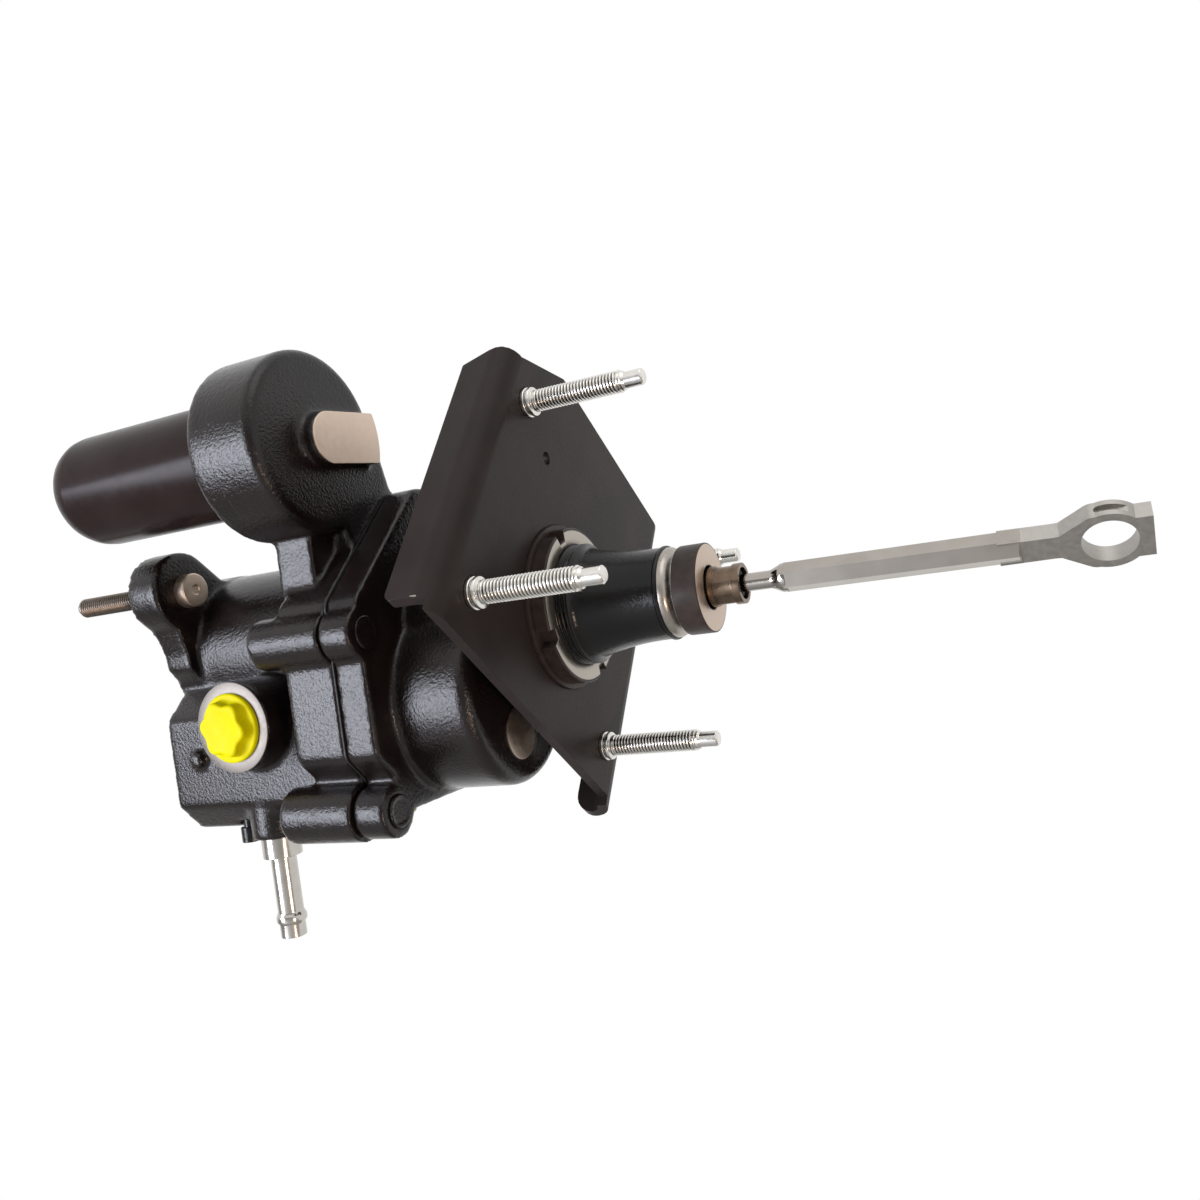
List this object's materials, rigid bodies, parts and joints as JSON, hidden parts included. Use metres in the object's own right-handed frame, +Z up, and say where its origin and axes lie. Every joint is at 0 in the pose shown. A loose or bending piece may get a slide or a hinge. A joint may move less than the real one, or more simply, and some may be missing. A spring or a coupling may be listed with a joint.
{
  "type": "hydraulic brake booster",
  "caption": "Hydraulic brake booster with a black cast housing, side accumulator can, firewall bracket with threaded studs, and a long eye-ended pedal rod.",
  "frame": {"origin": "where the main bore's axis meets the rear face of the firewall bracket", "axes": "+X along the main bore towards the pedal, +Z up on the vehicle, +Y across the vehicle"},
  "size_m": [0.4073, 0.1872, 0.1976],
  "materials": {
    "cast_black": "black paint over cast iron, semi-gloss with an orange-peel skin",
    "bracket_black": "brown-black satin coat on pressed steel",
    "can_black": "brown-black satin coat on drawn steel",
    "zinc": "bright zinc plate",
    "bare_steel": "bare machined steel",
    "bronze": "pale bronze plate",
    "chrome_rod": "bright plate",
    "plug_yellow": "glossy translucent plastic",
    "rubber": "black rubber"
  },
  "bodies": {
    "booster": {"housing": "cast_black", "cover": "cast_black", "gasket": "rubber", "bracket": "bracket_black", "firewall_studs": "zinc", "lock_washer": "bracket_black", "ring_nut": "bare_steel", "cover_bolts": "cast_black", "flange_bolts": "bare_steel", "accumulator_can": "can_black", "can_seal": "rubber", "port_rings": "rubber", "port_seats": "bronze", "return_fitting": "zinc", "return_ring": "rubber", "drain_screw": "cast_black", "boot_band": "zinc", "rod_retainer": "zinc", "input_seal": "rubber", "spool_sleeve": "bare_steel", "spool_plug": "bare_steel", "spool_plug_ring": "rubber", "spool_spring": "zinc", "check_seat": "bronze", "check_spring": "zinc", "relief_spring": "zinc", "return_spring": "zinc"},
    "input": {"input_rod": "zinc", "input_socket": "bronze"},
    "piston": {"power_piston": "bare_steel", "piston_seal": "rubber", "lever_pin": "zinc", "output_rod": "zinc"},
    "spool": {"spool_valve": "zinc", "spool_pin": "zinc"},
    "lever": {"lever": "bare_steel"},
    "gas_piston": {"accumulator_piston": "bare_steel", "accumulator_seal": "rubber"},
    "check_ball": {"check_ball": "zinc"},
    "relief_plunger": {"relief_plunger": "zinc"},
    "pump_plug": {"pump_port_plug": "plug_yellow"},
    "gear_plug": {"gear_port_plug": "plug_yellow"},
    "rod_cup": {"ball_seat": "rubber"},
    "rod_grommet": {"rod_grommet": "rubber"},
    "pedal_rod": {"pedal_rod": "chrome_rod"}
  },
  "joints": [
    {"name": "input_slide", "type": "slide", "parent": "booster", "child": "input", "axis": [-1, 0, 0], "range_m": [0, 0.0315], "stiffness_N_per_m": 1500, "springref_m": -0.02},
    {"name": "piston_slide", "type": "slide", "parent": "booster", "child": "piston", "axis": [-1, 0, 0], "range_m": [0, 0.03], "deforming": ["return_spring"]},
    {"name": "spool_slide", "type": "slide", "parent": "booster", "child": "spool", "axis": [-1, 0, 0], "range_m": [0, 0.0025], "deforming": ["spool_spring"]},
    {"name": "lever_swing", "type": "hinge", "parent": "spool", "child": "lever", "pos_m": [-0.061, 0.02391, -0.02953], "axis": [0, -0.7771, -0.6293], "range_deg": [0, 39.75]},
    {"name": "relief_lift", "type": "slide", "parent": "booster", "child": "relief_plunger", "axis": [0, -0.6293, 0.7771], "range_m": [0, 0.0015], "deforming": ["relief_spring"]},
    {"name": "gas_piston_slide", "type": "slide", "parent": "booster", "child": "gas_piston", "axis": [-1, 0, 0], "range_m": [0, 0.06], "stiffness_N_per_m": 5000, "springref_m": -0.05},
    {"name": "check_ball_lift", "type": "slide", "parent": "booster", "child": "check_ball", "axis": [1, 0, 0], "range_m": [0, 0.0012], "stiffness_N_per_m": 400, "springref_m": -0.002, "deforming": ["check_spring"]},
    {"name": "pump_plug_pull", "type": "slide", "parent": "booster", "child": "pump_plug", "axis": [0, -0.7771, -0.6293], "range_m": [0, 0.025]},
    {"name": "gear_plug_pull", "type": "slide", "parent": "booster", "child": "gear_plug", "axis": [0, 0.6293, -0.7771], "range_m": [0, 0.025]},
    {"name": "rod_pitch", "type": "hinge", "parent": "input", "child": "rod_cup", "pos_m": [0.0608, 0, 0], "axis": [0, -1, 0], "range_deg": [-3, 3], "stiffness_Nm_per_rad": 8},
    {"name": "rod_yaw", "type": "hinge", "parent": "rod_cup", "child": "rod_grommet", "pos_m": [0.0608, 0, 0], "axis": [0, 0, 1], "range_deg": [-3, 3], "stiffness_Nm_per_rad": 8},
    {"name": "rod_spin", "type": "hinge", "parent": "rod_grommet", "child": "pedal_rod", "pos_m": [0.0608, 0, 0], "axis": [1, 0, 0], "continuous": true}
  ],
  "couplings": [
    {"joint": "piston_slide", "follows": "input_slide", "ratio": 0.95238},
    {"joint": "spool_slide", "follows": "input_slide", "ratio": 0.079365},
    {"joint": "relief_lift", "follows": "input_slide", "ratio": 0.047619},
    {"joint": "lever_swing", "follows": "input_slide", "rad_per_m": 22.024}
  ]
}
